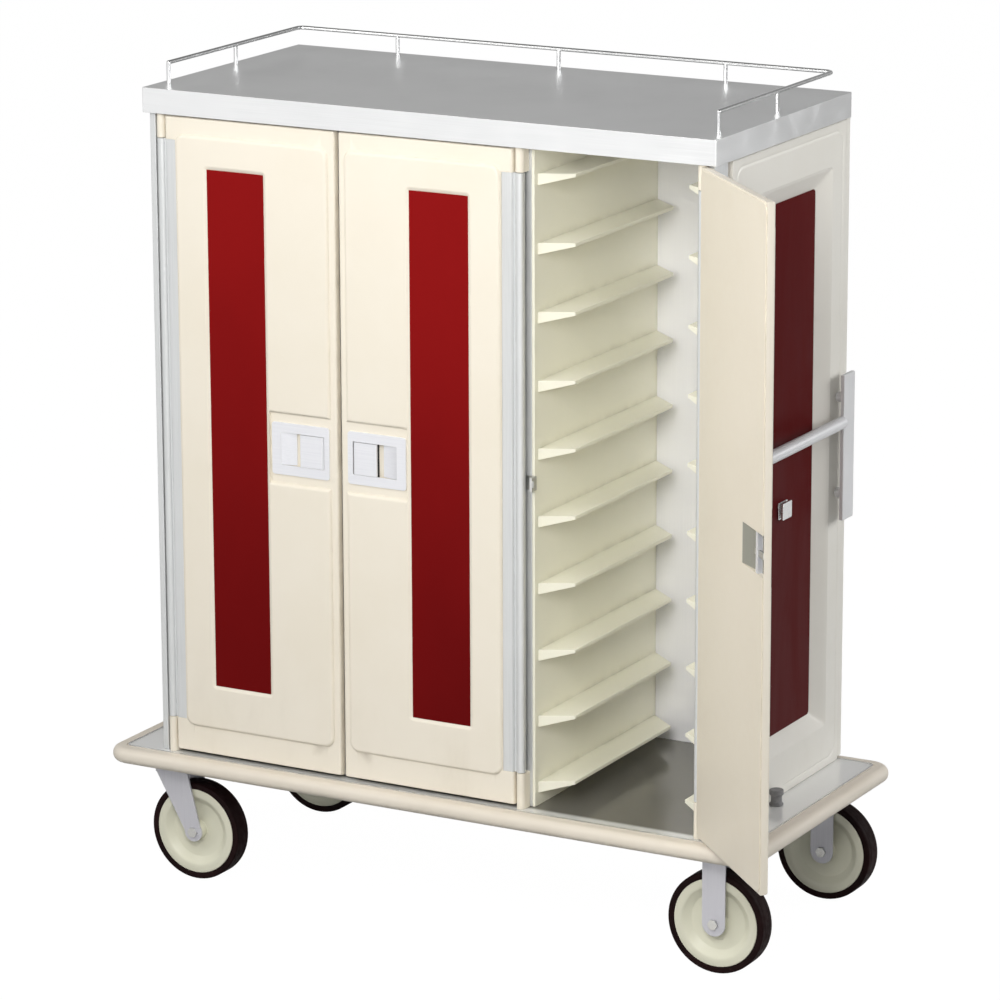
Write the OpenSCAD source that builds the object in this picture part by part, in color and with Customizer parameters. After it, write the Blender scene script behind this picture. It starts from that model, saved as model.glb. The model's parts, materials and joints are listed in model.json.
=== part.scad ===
// Enclosed meal tray cart: three bays of tray ledges behind hinged doors, a guard rail on
// the roof, a push bar on the right end and four casters under a bumpered deck.
// X runs along the cart, Y from the doors to the back, Z up. The origin is on the floor
// under the middle of the deck. The right door stands open.

/* [Tray bays] */
// Clear width of the left bay
bay_1_w = 376; // [365:1:440]
// Clear width of the middle bay
bay_2_w = 357; // [350:1:440]
// Clear width of the right bay
bay_3_w = 359; // [350:1:440]
// Clear depth of the bays from the divider fronts to the back wall
bay_depth = 516; // [490:1:600]
// Number of ledges on each rack wall
ledge_rows = 10; // [8:1:11]
// Height from one ledge to the next
ledge_pitch = 133.35; // [120:0.05:150]
// Height of the lowest ledge over the deck
low_room = 49; // [40:1:90]
// Height of the roof over the top ledge
top_room = 57; // [45:1:90]
// Reach of a ledge from its wall
ledge_reach = 60; // [45:1:75]
// Thickness of a ledge at its wall
ledge_root_t = 23; // [15:0.5:30]
// Thickness of a ledge at its free edge
ledge_tip_t = 7; // [4:0.5:12]
// Fall of a ledge's top face towards its free edge
ledge_fall = 2; // [0.5:0.5:4]
// Thickness of a rack wall
rack_t = 6; // [4:0.5:10]

/* [Cabinet] */
// Width of the divider uprights between the bays
mullion_w = 28; // [24:1:44]
// Depth of the divider uprights
mullion_d = 22; // [15:1:40]
// Thickness of the moulded end skins
end_skin_t = 25; // [24:1:40]
// Thickness of the flange at the front of a corner post
post_t = 13; // [8:1:18]
// Width of a front corner post along the cart's side
post_w = 54; // [45:1:70]
// How far the divider fronts lie behind the corner post fronts
mullion_inset = 21; // [19:1:30]
// Width of the shadow joint between a corner post and its end skin
joint_w = 17; // [10:1:24]
// Depth of that shadow joint
joint_d = 8; // [4:1:12]
// Thickness of the inner back wall
back_wall_t = 3; // [1.5:0.5:6]
// Depth of the space between the back wall and the back panel
back_space = 35; // [20:1:60]
// Width of a rear corner post
rear_post_w = 40; // [25:1:60]
// Thickness of the outer back panel
back_panel_t = 18; // [10:1:30]
// Thickness of the roof liner
roof_liner_t = 3; // [1.5:0.5:6]

/* [End panels] */
// Depth of the bevelled recess in an end skin
recess_d = 22; // [12:0.5:22]
// Width of the recess bevel at the sides
bevel_side = 38; // [15:1:42]
// Width of the recess bevel at the bottom
bevel_low = 31; // [15:1:40]
// Width of the recess bevel at the top
bevel_high = 38; // [15:1:45]
// Plain margin of the end skin in front of its recess
recess_front = 47; // [30:1:70]
// Plain margin of the end skin behind its recess
recess_rear = 62; // [30:1:80]
// Plain margin of the end skin under its recess
recess_low = 90; // [50:1:120]
// Plain margin of the end skin over its recess
recess_high = 84; // [50:1:120]
// Thickness of the coloured insert sheets
insert_t = 3; // [1:0.5:4]

/* [Doors] */
// Thickness of a door's moulded skin outside its raised field
skin_t = 16; // [15:0.5:28]
// Height of the raised field over the skin
raised_t = 6; // [4:0.5:8]
// Thickness of a door's inner liner
liner_t = 2; // [1.5:0.5:6]
// Gap between the free edges of the left and the middle door
door_gap = 8; // [6:0.5:12]
// Gap between the free edge of the right door and the middle hinge
hinge_gap = 6; // [4:0.5:10]
// Gap under the doors over the deck
door_low_gap = 8; // [5:0.5:15]
// Gap over the doors under the roof cap
door_high_gap = 3.5; // [2:0.5:6]
// Gap between the inner face of a closed door and the divider fronts
door_back_gap = 10; // [4:0.5:16]
// Radius of the hinge barrel
barrel_r = 9; // [7:0.5:9]
// Radius of the hinge pins
pin_r = 4; // [2.5:0.25:5]
// Depth of the hinge notch in a door's edge
notch_w = 36; // [28:1:44]
// Height of the door's lower hinge corner
low_corner_h = 66; // [40:1:90]
// Height of the door's upper hinge corner
high_corner_h = 46; // [30:1:70]
// Gap between the coloured insert and the latch plate
insert_gap = 11; // [8:1:30]
// Width of the coloured insert
insert_w = 129; // [80:1:135]
// Plain height of the door under the insert
insert_low = 146; // [110:1:200]
// Plain height of the door over the insert
insert_high = 98; // [70:1:150]
// Opening angle at which the right door stands
rest_open = 135.5; // [95:0.5:142]

/* [Latches] */
// Height of the latches over the floor
latch_z = 935; // [800:1:1100]
// Width of a latch plate
plate_w = 130; // [124:1:140]
// Height of a latch plate
plate_h = 105; // [90:1:120]
// Thickness of a latch plate
plate_t = 3; // [2:0.5:4]
// Distance from the door's free edge to the latch plate
plate_edge = 17; // [12:1:20]
// Width of the paddle
paddle_w = 52; // [40:1:56]
// Height of the paddle
paddle_h = 64; // [50:1:66]
// Thickness of the paddle
paddle_t = 8; // [6:0.5:9]
// Height of the flat band that holds the latch plate
band_h = 142; // [125:1:180]
// Height of the bolt pocket in the door's inner face
pocket_h = 78; // [50:1:90]
// How far the bolt lies below the middle of the latch plate
bolt_drop = 11; // [0:1:15]
// Height of the bolt
bolt_h = 12; // [8:0.5:16]
// Thickness of the bolt
bolt_t = 5; // [4:0.5:5.5]

/* [Roof cap and guard rail] */
// Height of the cap's skirt
cap_h = 49.5; // [44:0.5:70]
// Thickness of the cap's sheet
cap_t = 2; // [1:0.5:3]
// Overhang of the cap past the end skins
cap_over_end = 7.5; // [4:0.5:20]
// Overhang of the cap past the front corner posts
cap_over_front = 13; // [8:0.5:20]
// Overhang of the cap past the rear corner posts
cap_over_rear = 4; // [3:0.5:12]
// Height of the roof frame's rails
roof_rail_h = 42; // [30:1:44]
// Width of the roof frame's rails
roof_rail_w = 40; // [30:1:60]
// Diameter of the guard rail's rod
rod_d = 8; // [6:0.5:12]
// Height of the guard rail over the cap
guard_h = 46; // [30:1:80]
// Distance from the cap's ends and back to the middle of the rod
guard_end = 25; // [15:0.5:40]
// Distance from the cap's back edge to the middle of the rod
guard_back = 34.5; // [20:0.5:60]
// Distance from the cap's front edge to the rail's first post
guard_front = 59; // [30:1:120]
// Distance between the posts at the back
guard_post_gap = 369; // [250:1:450]

/* [Deck and bumper] */
// Deck left free past each end skin
end_margin = 76.5; // [70:0.5:110]
// Deck left free in front of the corner posts
front_margin = 14; // [10:1:30]
// Deck left free behind the rear corner posts
rear_margin = 5; // [3:1:20]
// Thickness of the deck plate
deck_t = 3; // [2:0.5:5]
// Height of the deck frame's tubes
deck_tube_h = 30; // [25:1:50]
// Width of the deck frame's tubes
deck_tube_w = 40; // [30:1:60]
// Wall of the tubes in the deck, the roof frame and the rear posts
tube_wall = 2.5; // [1.5:0.5:4]
// Corner radius of the deck plate
deck_r = 12; // [6:1:25]
// Thickness of the strip that holds the bumper
retainer_t = 3; // [2:0.5:5]
// How far the bumper stands out from its strip
bumper_t = 31; // [20:1:40]
// Height of the bumper
bumper_h = 32; // [31:1:46]
// Radius of the bumper's outer edges
bumper_r = 15; // [5:0.5:15.5]

/* [Casters] */
// Diameter of the wheels
wheel_d = 203; // [150:1:230]
// Width of the tyres
wheel_w = 42; // [36:1:60]
// Thickness of the tyres
tyre_t = 13; // [8:0.5:24]
// Radius of the axle bolts
axle_r = 6; // [5:0.5:9]
// Distance from a swivel's kingpin to its wheel's axle
trail = 50; // [30:1:60]
// Distance from the deck's left end to the kingpins
swivel_inset = 88; // [85:0.5:130]
// Distance from the deck's right end to the rigid axles
rigid_inset = 74; // [55.5:0.5:110]
// Distance from the deck's sides to the caster centres
caster_side = 53; // [52:1:75]
// Length of a caster's mounting plate along the cart
mount_l = 110; // [90:1:110]
// Width of a caster's mounting plate
mount_w = 100; // [80:1:104]
// Thickness of a caster's mounting plate
mount_t = 6; // [4:0.5:10]
// Thickness of the fork legs
leg_t = 4; // [3:0.5:6]
// Width of the rigid forks' legs
leg_w = 49; // [36:1:54]
// Width of the swivel forks' legs at their axle
swivel_leg_w = 40; // [32:1:54]

/* [Push bar and fittings] */
// Height of the push bar over the floor
bar_z = 982; // [850:1:1060]
// Diameter of the push bar
bar_d = 25; // [20:1:30]
// Height of the grip plates' lower ends over the floor
grip_z = 783; // [650:1:830]
// Height of the grip plates
grip_h = 294; // [280:1:400]
// Width of the grip plates
grip_w = 49; // [35:1:52]
// Thickness of the grip plates
grip_t = 9; // [6:1:18]
// Gap between the end skin and the grip plates
grip_gap = 18; // [12:1:40]
// Height of the strap cleat over the floor
cleat_z = 843; // [700:1:950]
// Diameter of the bump stops
stop_d = 28; // [18:1:32]
// Height of the bump stops over the deck
stop_h = 32; // [24:1:80]

/* [Hidden] */
$fn = 64;

// Small clearances
fit = 0.05;        // radial play of a pin or shaft in its bore
seat = 0.2;        // gap between separate pieces of one frame
run = 0.3;         // gap between a moving piece and what guides it

// Colours
CREAM = "#f6f4e6";
RACK_CREAM = "#dedcc8";
RED = "#8c1618";
DARK_RED = "#6b1a1c";
ALUMINIUM = "#c8cacc";
STEEL = "#b4b6b8";
STAINLESS = "#dcdedf";
TYRE = "#1c1012";
CORE = "#d2d0bc";
RUBBER = "#2a2a2a";

// Heights
crown_gap = 15;    // from the tyre up to the fork crown
crown_t = 6;
raceway_h = 10;
core_r = wheel_d / 2 - tyre_t;
crown_z = wheel_d + crown_gap;
mount_z = crown_z + crown_t + raceway_h;
tube_z = mount_z + mount_t;
deck_z = tube_z + deck_tube_h + deck_t;
low_ledge_z = deck_z + low_room;
top_ledge_z = low_ledge_z + (ledge_rows - 1) * ledge_pitch;
liner_z = top_ledge_z + top_room;
roof_rail_z = liner_z + roof_liner_t;
cap_top_z = roof_rail_z + roof_rail_h + cap_t;
cap_low_z = cap_top_z - cap_h;
door_z0 = deck_z + door_low_gap;
door_z1 = cap_low_z - door_high_gap;

// Places along the cart
BAY_W = [bay_1_w, bay_2_w, bay_3_w];
divider_w = mullion_w + 2 * rack_t;
racks_half = (bay_1_w + bay_2_w + bay_3_w + 2 * divider_w) / 2;
BAY_X = [
    -racks_half,
    -racks_half + bay_1_w + divider_w,
    racks_half - bay_3_w
];
DIVIDER_X = [BAY_X[1] - divider_w / 2, BAY_X[2] - divider_w / 2];
skin_in_x = racks_half + rack_t;
skin_out_x = skin_in_x + end_skin_t;
deck_half_l = skin_out_x + end_margin;
post_out_x = skin_out_x - 1;
swivel_x = -deck_half_l + swivel_inset;
rigid_x = deck_half_l - rigid_inset;

// Places from the doors to the back
deck_w = front_margin + mullion_inset + bay_depth + back_wall_t + back_space + rear_margin;
deck_y0 = -deck_w / 2;
deck_y1 = deck_w / 2;
post_y = deck_y0 + front_margin;
frame_y = post_y + mullion_inset;
back_y = frame_y + bay_depth;
rear_post_y = back_y + back_wall_t;
cap_bend_r = 1;    // round in the corners of the cap's skirt
rear_y = rear_post_y + back_space;
caster_y = deck_y1 - caster_side;

// Doors: x from the pivot line, y from the pivot line towards the back of the closed door
door_t = skin_t + liner_t;
skin_y0 = -barrel_r;
skin_y1 = skin_y0 + skin_t;
liner_y1 = skin_y1 + liner_t;
raised_y = skin_y0 - raised_t;
pivot_y = frame_y - door_back_gap - liner_y1;
pivot_out = 4;     // from the rack wall to the pivots at the cart's ends
PIVOT_X = [-racks_half - pivot_out, DIVIDER_X[1], racks_half + pivot_out];
DOOR_W = [
    DIVIDER_X[0] - door_gap / 2 - PIVOT_X[0],
    PIVOT_X[1] - DIVIDER_X[0] - door_gap / 2,
    PIVOT_X[2] - DIVIDER_X[1] - barrel_r - hinge_gap
];
KEEPER_X = [
    DIVIDER_X[0] - PIVOT_X[0],
    PIVOT_X[1] - DIVIDER_X[0],
    PIVOT_X[2] - DIVIDER_X[1]
];
corner_x = 12;     // start of the skin at the hinge corners
web_x = 14;        // start of the skin behind the hinge leaf
web_t = 6;         // hinge web on the pivot line
leaf_y = skin_y0 + 1;
corner_r = 6;      // round on the skin's outer edges
block_gap = 1;     // between the barrel and the pivot blocks
pin_in_block = 40;
pin_in_barrel = 60;
barrel_z0 = door_z0 + low_corner_h;
barrel_z1 = door_z1 - high_corner_h;
raised_x = notch_w + 2;
raised_side = 15;  // plain margin at the free edge
raised_z0 = door_z0 + 56;
raised_z1 = door_z1 - 34;
raised_r = 20;
insert_z0 = door_z0 + insert_low;
insert_z1 = door_z1 - insert_high;
insert_sink = 1;   // depth of the insert's face under the raised field
insert_lip = 4;    // cream rim between the insert and the latch band

// Latch, in the door's own x and y
strike_z = latch_z - bolt_drop;
plate_y = skin_y0 - plate_t;
paddle_edge = plate_edge + 13;
slot_w = 12;       // finger slot beside the paddle
ramp_w = 33;       // sloped finger recess
paddle_axis_in = 2;
paddle_axis_y = skin_y0 + 1.5;
paddle_y = plate_y - 2;
paddle_play = 1.8;
pan_y = skin_y0 + 6;
pan_side = 5;      // pan past the opening, over the paddle's pins
pocket_y = pan_y + 1.5;   // floor of the bolt pocket
bolt_y = pocket_y + 3.5;
bolt_tip = 2.5;    // from the free edge to the extended bolt's tip
bolt_l = 49.5;
pocket_end = 2;
pocket_l = 121;
pocket_slope = 81;
guide_x = 30;
guide_t = 10;
keeper_x = 4;
keeper_t = 5;
keeper_foot_t = 3;

function hinged_right(i) = i > 0;
function rest_turn(i) = i == 2 ? rest_open : 0;
function insert_x1(w) = w - plate_edge - plate_w - insert_gap;
function insert_x0(w) = insert_x1(w) - insert_w;

// A block between two values on each axis
module span(x, y, z) {
    translate([x[0], y[0], z[0]])
        cube([x[1] - x[0], y[1] - y[0], z[1] - z[0]]);
}

// A rectangular tube between two values on each axis, open along the axis named by run_axis
module tube(x, y, z, run_axis) {
    wall = [for (axis = [0:2]) axis == run_axis ? -1 : tube_wall];
    difference() {
        span(x, y, z);
        span([x[0] + wall[0], x[1] - wall[0]], [y[0] + wall[1], y[1] - wall[1]],
             [z[0] + wall[2], z[1] - wall[2]]);
    }
}

// A rectangle with round corners between two values on each axis
module rounded(x, y, r) {
    translate([x[0] + r, y[0]])
        square([x[1] - x[0] - 2 * r, y[1] - y[0]]);
    translate([x[0], y[0] + r])
        square([x[1] - x[0], y[1] - y[0] - 2 * r]);
    for (cx = [x[0] + r, x[1] - r], cy = [y[0] + r, y[1] - r])
        translate([cx, cy])
            circle(r);
}

// Round-cornered plates that stand in the XZ plane and in the YZ plane
module plate_xz(x, z, r, y) {
    translate([0, y[1], 0])
        rotate([90, 0, 0])
            linear_extrude(y[1] - y[0])
                rounded(x, z, r);
}

module plate_yz(y, z, r, x) {
    translate([x[0], 0, 0])
        rotate([90, 0, 90])
            linear_extrude(x[1] - x[0])
                rounded(y, z, r);
}

module both_ends() {
    children();
    mirror([1, 0, 0])
        children();
}

// The closed door's own axes: x from its pivot to its free edge, y towards the back
module at_pivot(i) {
    translate([PIVOT_X[i], pivot_y, 0])
        if (hinged_right(i))
            mirror([1, 0, 0])
                children();
        else
            children();
}

// The same axes as the door stands at rest
module on_door(i) {
    translate([PIVOT_X[i], pivot_y, 0])
        rotate([0, 0, rest_turn(i)])
            if (hinged_right(i))
                mirror([1, 0, 0])
                    children();
            else
                children();
}

// ---- Deck ----

module deck_plate() {
    color(STAINLESS)
        translate([0, 0, deck_z - deck_t])
            linear_extrude(deck_t)
                rounded([-deck_half_l, deck_half_l], [deck_y0, deck_y1], deck_r);
}

module deck_frame() {
    tube_end = deck_half_l - deck_r / 2;
    z = [tube_z, deck_z - deck_t];
    cross_y = caster_y - deck_tube_w / 2 - seat;
    color(STEEL) {
        for (side = [-1, 1])
            tube([-tube_end, tube_end],
                 [side * caster_y - deck_tube_w / 2, side * caster_y + deck_tube_w / 2], z, 0);
        for (x = [-tube_end + deck_tube_w / 2, DIVIDER_X[0], DIVIDER_X[1],
                  tube_end - deck_tube_w / 2])
            tube([x - deck_tube_w / 2, x + deck_tube_w / 2], [-cross_y, cross_y], z, 1);
    }
}

module bumper_retainer() {
    reach = deck_half_l + retainer_t;
    low = deck_z - bumper_h + 3;
    lip = 1.5;
    color(STAINLESS)
        translate([0, 0, low])
            linear_extrude(deck_z + lip - low)
                difference() {
                    rounded([-reach, reach], [deck_y0 - retainer_t, deck_y1 + retainer_t],
                            deck_r + retainer_t);
                    rounded([-deck_half_l, deck_half_l], [deck_y0, deck_y1], deck_r);
                }
}

// Cross section of the bumper: x outwards from its strip, y up
module bumper_section() {
    square([bumper_t - bumper_r, bumper_h]);
    translate([0, bumper_r])
        square([bumper_t, bumper_h - 2 * bumper_r]);
    for (h = [bumper_r, bumper_h - bumper_r])
        translate([bumper_t - bumper_r, h])
            circle(bumper_r);
}

module bumper() {
    bend = deck_r + retainer_t;
    cx = deck_half_l - deck_r;
    cy = deck_y1 - deck_r;
    color(CREAM)
        translate([0, 0, deck_z - bumper_h])
            union() {
                for (q = [0:3])
                    let (sx = q == 0 || q == 3 ? 1 : -1, sy = q < 2 ? 1 : -1)
                        translate([sx * cx, sy * cy, 0])
                            rotate([0, 0, 90 * q])
                                rotate_extrude(angle = 90)
                                    translate([bend, 0])
                                        bumper_section();
                for (side = [0, 180])
                    rotate([0, 0, side]) {
                        translate([cx + deck_r + retainer_t, cy, 0])
                            rotate([90, 0, 0])
                                linear_extrude(2 * cy)
                                    bumper_section();
                        translate([-cx, cy + deck_r + retainer_t, 0])
                            rotate([90, 0, 90])
                                linear_extrude(2 * cx)
                                    bumper_section();
                    }
            }
}

// ---- Cabinet ----

module corner_posts() {
    z = [deck_z, roof_rail_z];
    color(ALUMINIUM) {
        both_ends()
            translate([0, 0, z[0]])
                linear_extrude(z[1] - z[0]) {
                    rounded([post_out_x - post_t, post_out_x], [post_y, post_y + post_w], 2);
                    translate([skin_in_x, frame_y])
                        square([post_out_x - post_t / 2 - skin_in_x,
                                post_y + post_w - frame_y]);
                }
        both_ends()
            tube([skin_in_x - rear_post_w, skin_in_x], [rear_post_y, rear_y], z, 2);
    }
}

module mullions() {
    color(ALUMINIUM)
        for (x = DIVIDER_X)
            span([x - mullion_w / 2, x + mullion_w / 2], [frame_y, frame_y + mullion_d],
                 [deck_z, liner_z]);
}

module top_frame() {
    x = skin_out_x + cap_over_end - cap_t;
    y0 = post_y - cap_over_front + cap_t;
    y1 = rear_y + cap_over_rear - cap_t;
    z = [roof_rail_z, roof_rail_z + roof_rail_h];
    rail_end = x - cap_bend_r - seat;
    color(STEEL) {
        tube([-rail_end, rail_end], [y0, y0 + roof_rail_w], z, 0);
        tube([-rail_end, rail_end], [y1 - roof_rail_w, y1], z, 0);
        both_ends()
            tube([x - roof_rail_w, x], [y0 + roof_rail_w + seat, y1 - roof_rail_w - seat], z, 1);
        for (cx = DIVIDER_X)
            tube([cx - roof_rail_w / 2, cx + roof_rail_w / 2],
                 [y0 + roof_rail_w + seat, y1 - roof_rail_w - seat], z, 1);
    }
}

// Bevelled recess of the right end skin
module end_recess(y, z) {
    floor_x = skin_out_x - recess_d;
    hull() {
        plate_yz(y, z, 28, [skin_out_x, skin_out_x + 1], $fn = 32);
        plate_yz([y[0] + bevel_side, y[1] - bevel_side], [z[0] + bevel_low, z[1] - bevel_high],
                 8, [floor_x, floor_x + 0.01], $fn = 32);
    }
}

module end_skins() {
    joint_y = post_y + post_w;
    y = [joint_y + joint_w, rear_y];
    z = [deck_z, door_z1];
    groove_in = 30;
    groove_w = 5;
    groove_d = 1.5;
    groove_y = [y[0] + groove_in / 2, y[1] - groove_in / 2];
    groove_z = [z[0] + groove_in, z[1] - groove_in];
    color(CREAM)
        both_ends()
            difference() {
                union() {
                    span([skin_in_x, skin_out_x], y, z);
                    span([skin_in_x, skin_out_x - joint_d], [joint_y, y[0] + 1], z);
                }
                end_recess([y[0] + recess_front, y[1] - recess_rear],
                           [z[0] + recess_low, z[1] - recess_high]);
                difference() {
                    plate_yz(groove_y, groove_z, 30,
                             [skin_out_x - groove_d, skin_out_x + 1]);
                    plate_yz([groove_y[0] + groove_w, groove_y[1] - groove_w],
                             [groove_z[0] + groove_w, groove_z[1] - groove_w], 25,
                             [skin_out_x - groove_d - 1, skin_out_x + 2]);
                }
            }
}

module end_inserts() {
    y = [post_y + post_w + joint_w + recess_front + bevel_side,
         rear_y - recess_rear - bevel_side];
    z = [deck_z + recess_low + bevel_low, door_z1 - recess_high - bevel_high];
    floor_x = skin_out_x - recess_d;
    color(DARK_RED)
        both_ends()
            plate_yz([y[0] + seat, y[1] - seat], [z[0] + seat, z[1] - seat], 7.8,
                     [floor_x, floor_x + insert_t]);
}

module back_panel() {
    color(CREAM)
        span([-post_out_x, post_out_x], [rear_y, rear_y + back_panel_t],
             [deck_z + 6, cap_low_z - 1]);
}

module back_wall() {
    color(ALUMINIUM)
        span([-skin_in_x, skin_in_x], [back_y, rear_post_y], [deck_z, liner_z]);
}

module roof_liner() {
    color(ALUMINIUM)
        span([-skin_in_x, skin_in_x], [frame_y, rear_post_y], [liner_z, roof_rail_z]);
}

module top_cap() {
    x = skin_out_x + cap_over_end;
    y = [post_y - cap_over_front, rear_y + cap_over_rear];
    color(STAINLESS)
        difference() {
            translate([0, 0, cap_low_z])
                linear_extrude(cap_h)
                    rounded([-x, x], y, 3);
            translate([0, 0, cap_low_z - 1])
                linear_extrude(cap_h + 1 - cap_t)
                    rounded([cap_t - x, x - cap_t], [y[0] + cap_t, y[1] - cap_t], cap_bend_r);
        }
}

module gallery_rail() {
    r = rod_d / 2;
    x = skin_out_x + cap_over_end - guard_end;
    y0 = post_y - cap_over_front + guard_front;
    y1 = rear_y + cap_over_rear - guard_back;
    z = cap_top_z + guard_h - r;
    bend = 14;
    color(STAINLESS)
        union() {
            both_ends() {
                translate([x, y0, z])
                    rotate([-90, 0, 0])
                        cylinder(h = y1 - bend - y0, r = r);
                translate([x, y0, z])
                    sphere(r);
                translate([x - bend, y1 - bend, z])
                    rotate_extrude(angle = 90)
                        translate([bend, 0])
                            circle(r);
                for (y = [y0, (y0 + y1) / 2])
                    translate([x, y, cap_top_z])
                        cylinder(h = z - cap_top_z, r = r);
            }
            translate([bend - x, y1, z])
                rotate([0, 90, 0])
                    cylinder(h = 2 * (x - bend), r = r);
            for (px = [-guard_post_gap, 0, guard_post_gap])
                translate([px, y1, cap_top_z])
                    cylinder(h = z - cap_top_z, r = r);
        }
}

// ---- Tray racks ----

// One ledge on a wall at x = 0 that faces +X, with mitred ends
module ledge() {
    root_y = [frame_y + 12, back_y - 4];
    mitre_front = 40;
    mitre_back = 47;
    intersection() {
        translate([0, root_y[1], 0])
            rotate([90, 0, 0])
                linear_extrude(root_y[1] - root_y[0])
                    polygon([[0, 0], [ledge_reach, -ledge_fall],
                             [ledge_reach, -ledge_fall - ledge_tip_t], [0, -ledge_root_t]]);
        translate([0, 0, -ledge_root_t - 1])
            linear_extrude(ledge_root_t + 2)
                polygon([[0, root_y[0]], [0, root_y[1]],
                         [ledge_reach, root_y[1] - mitre_back],
                         [ledge_reach, root_y[0] + mitre_front]]);
    }
}

module tray_rack(bay) {
    x0 = BAY_X[bay];
    x1 = x0 + BAY_W[bay];
    color(RACK_CREAM) {
        for (x = [x0 - rack_t, x1])
            span([x, x + rack_t], [frame_y, back_y], [deck_z, liner_z]);
        for (row = [0:ledge_rows - 1]) {
            translate([x0 + seat, 0, low_ledge_z + row * ledge_pitch])
                ledge();
            translate([x1 - seat, 0, low_ledge_z + row * ledge_pitch])
                mirror([1, 0, 0])
                    ledge();
        }
    }
}

// ---- Fittings of the cabinet ----

// Places of the two grip plates along Y
GRIP_Y = [
    [post_y + 4, post_y + 4 + grip_w],
    [rear_y - 3 - grip_w, rear_y - 3]
];
grip_x = skin_out_x + grip_gap;

module grip_plates() {
    boss_r = 10;
    color(STEEL)
        for (i = [0, 1])
            union() {
                plate_yz(GRIP_Y[i], [grip_z, grip_z + grip_h], 3, [grip_x, grip_x + grip_t]);
                for (z = [grip_z + 50, grip_z + grip_h - 50])
                    translate([i == 0 ? post_out_x : skin_out_x,
                               (GRIP_Y[i][0] + GRIP_Y[i][1]) / 2, z])
                        rotate([0, 90, 0])
                            cylinder(h = grip_x + 1 - (i == 0 ? post_out_x : skin_out_x),
                                     r = boss_r);
            }
}

module push_bar() {
    color(STEEL)
        translate([grip_x + grip_t / 2, GRIP_Y[0][1], bar_z])
            rotate([-90, 0, 0])
                cylinder(h = GRIP_Y[1][0] - GRIP_Y[0][1], r = bar_d / 2);
}

// Strap cleat on the right end's insert: a foot, a stem and a bar across it
module strap_cleat() {
    x = skin_out_x - recess_d + insert_t;
    y = 58;
    color(STAINLESS)
        translate([x, y, cleat_z])
            union() {
                plate_yz([-20, 20], [-17, 17], 3, [0, 3]);
                plate_yz([-12, 12], [-11, 11], 3, [2, 8]);
                plate_yz([-20, 20], [-17, 17], 3, [7, 12]);
            }
}

module bump_stops() {
    x = skin_out_x + stop_d / 2 + 3;
    y = -28;
    tip_h = stop_h / 3;
    color(RUBBER)
        both_ends()
            translate([x, y, deck_z]) {
                cylinder(h = stop_h - tip_h, r = stop_d / 2 - 3);
                translate([0, 0, stop_h - tip_h])
                    cylinder(h = tip_h, r = stop_d / 2);
                cylinder(h = stop_h / 8, r = stop_d / 2);
            }
}

// Height ranges of the lower and the upper pivot block
BLOCK_Z = [
    [deck_z, barrel_z0 - block_gap],
    [barrel_z1 + block_gap, roof_rail_z]
];

// Height ranges of the lower and the upper hinge pin
PIN_Z = [
    [barrel_z0 - pin_in_block, barrel_z0 + pin_in_barrel],
    [barrel_z1 - pin_in_barrel, barrel_z1 + pin_in_block]
];

module hinge_blocks() {
    color(CREAM)
        for (i = [0:2], k = [0, 1])
            at_pivot(i)
                difference() {
                    translate([0, 0, BLOCK_Z[k][0]])
                        linear_extrude(BLOCK_Z[k][1] - BLOCK_Z[k][0]) {
                            circle(barrel_r);
                            translate([-barrel_r, 0])
                                square([2 * barrel_r, frame_y - pivot_y]);
                        }
                    translate([0, 0, PIN_Z[k][0] - seat])
                        cylinder(h = PIN_Z[k][1] - PIN_Z[k][0] + 2 * seat, r = pin_r + fit);
                }
}

module hinge_pins() {
    color(STEEL)
        for (i = [0:2], k = [0, 1])
            at_pivot(i)
                translate([0, 0, PIN_Z[k][0]])
                    cylinder(h = PIN_Z[k][1] - PIN_Z[k][0], r = pin_r);
}

// Angle strikes on the dividers, with a window for each bolt
module latch_keepers() {
    leg_h = 28;
    play = 1;
    foot_y = frame_y - pivot_y;
    color(STAINLESS)
        for (i = [0:2])
            at_pivot(i)
                difference() {
                    union() {
                        span([DOOR_W[i] - keeper_x - keeper_t, DOOR_W[i] - keeper_x],
                             [bolt_y - 2.5, foot_y],
                             [strike_z - leg_h / 2, strike_z + leg_h / 2]);
                        span([DOOR_W[i] - keeper_x - keeper_t, KEEPER_X[i] - 1],
                             [foot_y - keeper_foot_t, foot_y],
                             [strike_z - leg_h / 2, strike_z + leg_h / 2]);
                    }
                    span([DOOR_W[i] - keeper_x - keeper_t - 1, DOOR_W[i] - keeper_x + 1],
                         [bolt_y - play, bolt_y + bolt_t + play],
                         [strike_z - bolt_h / 2 - play, strike_z + bolt_h / 2 + play]);
                }
}

// ---- Doors ----

// Outline of the raised field: full height beside the insert, open across the latch band
module raised_outline(w) {
    free_x = w - raised_side;
    difference() {
        rounded([raised_x, free_x], [raised_z0, raised_z1], raised_r);
        translate([insert_x1(w) + insert_lip, latch_z - band_h / 2])
            square([free_x, band_h]);
    }
}

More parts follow.
